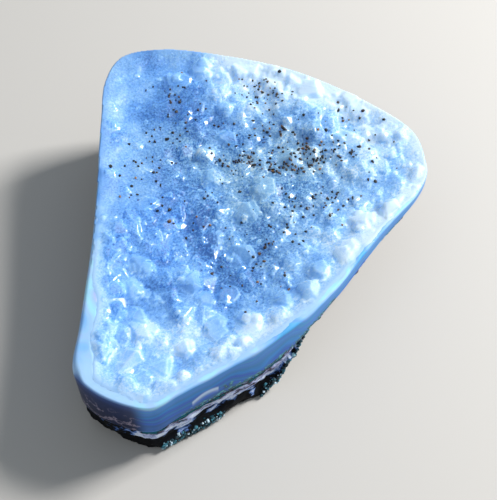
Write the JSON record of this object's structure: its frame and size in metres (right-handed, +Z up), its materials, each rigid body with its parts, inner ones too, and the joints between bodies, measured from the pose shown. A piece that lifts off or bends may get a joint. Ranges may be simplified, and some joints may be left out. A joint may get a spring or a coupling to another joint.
{
  "type": "amethyst agate specimen",
  "caption": "Wedge of geode wall: drusy quartz crystals in a shallow hollow on a ground chalcedony band, with rough host rock beneath.",
  "frame": {"origin": "on the surface that the rock rests on, under the middle of the outline", "axes": "+Z up, out of the crystals; +Y along the long way, from the narrow end to the wide end; +X towards the thin tip"},
  "size_m": [0.0639, 0.0769, 0.0249],
  "materials": {
    "quartz": "clear to milky pale lavender-blue crystal faces, glassy, with dark goethite specks",
    "agate": "blue-grey chalcedony with faint bands, ground and polished",
    "basalt": "rough near-black basalt with a pale seam and a teal celadonite skin"
  },
  "bodies": {
    "root": {"crystal_crust": "quartz", "agate_band": "agate", "basalt_rind": "basalt"}
  },
  "joints": []
}
